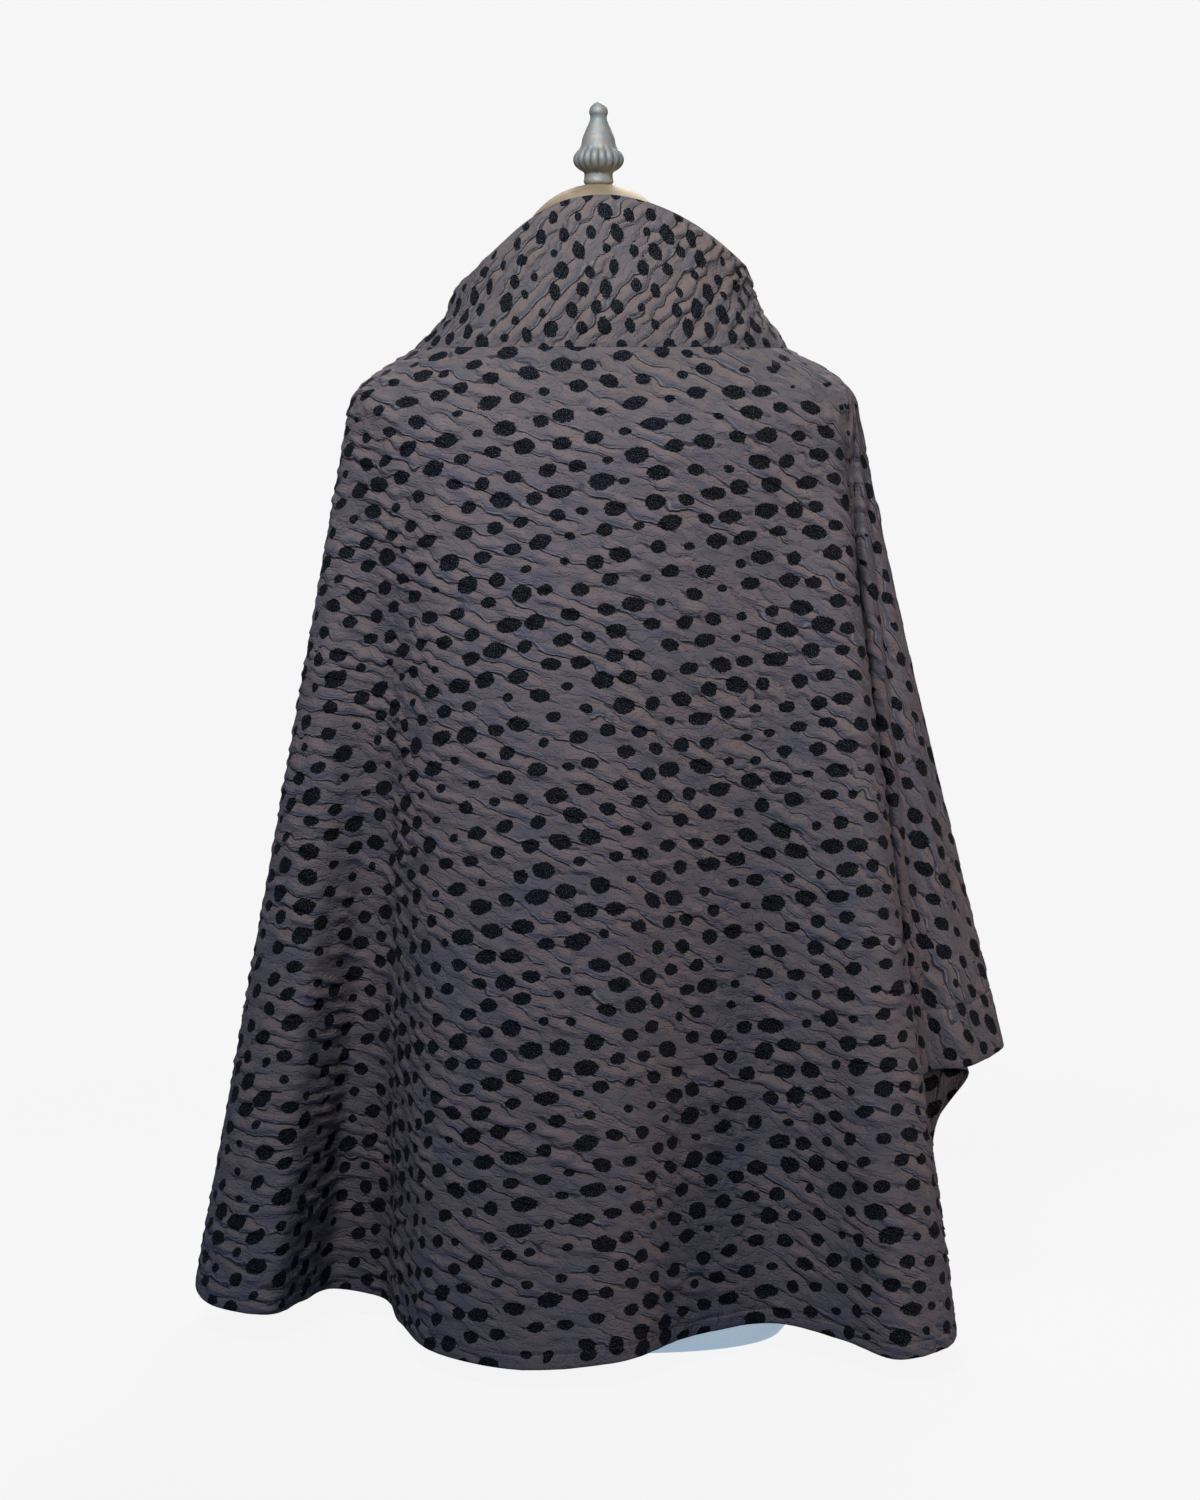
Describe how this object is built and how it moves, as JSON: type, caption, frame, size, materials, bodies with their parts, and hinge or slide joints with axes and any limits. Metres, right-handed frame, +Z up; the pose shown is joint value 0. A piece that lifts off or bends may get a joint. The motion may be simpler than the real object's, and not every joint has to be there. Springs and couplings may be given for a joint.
{
  "type": "poncho on a dress form",
  "caption": "Wide poncho with a funnel collar and a single batwing sleeve, draped over a limbless dress form that stands on its flat base.",
  "frame": {"origin": "middle of the dress form's flat base, on the floor", "axes": "+Z up along the form, +Y towards the back of the poncho, which the picture shows, and -X towards the sleeve"},
  "size_m": [0.6191, 0.4206, 0.9246],
  "materials": {
    "cloth": "matte crinkled double cloth, taupe with woven blue-black dots",
    "form_cover": "matte pale blue-white cover cloth",
    "cap_metal": "aged satin brass",
    "finial_metal": "satin pewter grey"
  },
  "bodies": {
    "root": {"back_panel": "cloth", "front_panel": "cloth", "collar": "cloth", "form_torso": "form_cover", "neck_cap": "cap_metal", "finial": "finial_metal"}
  },
  "joints": []
}
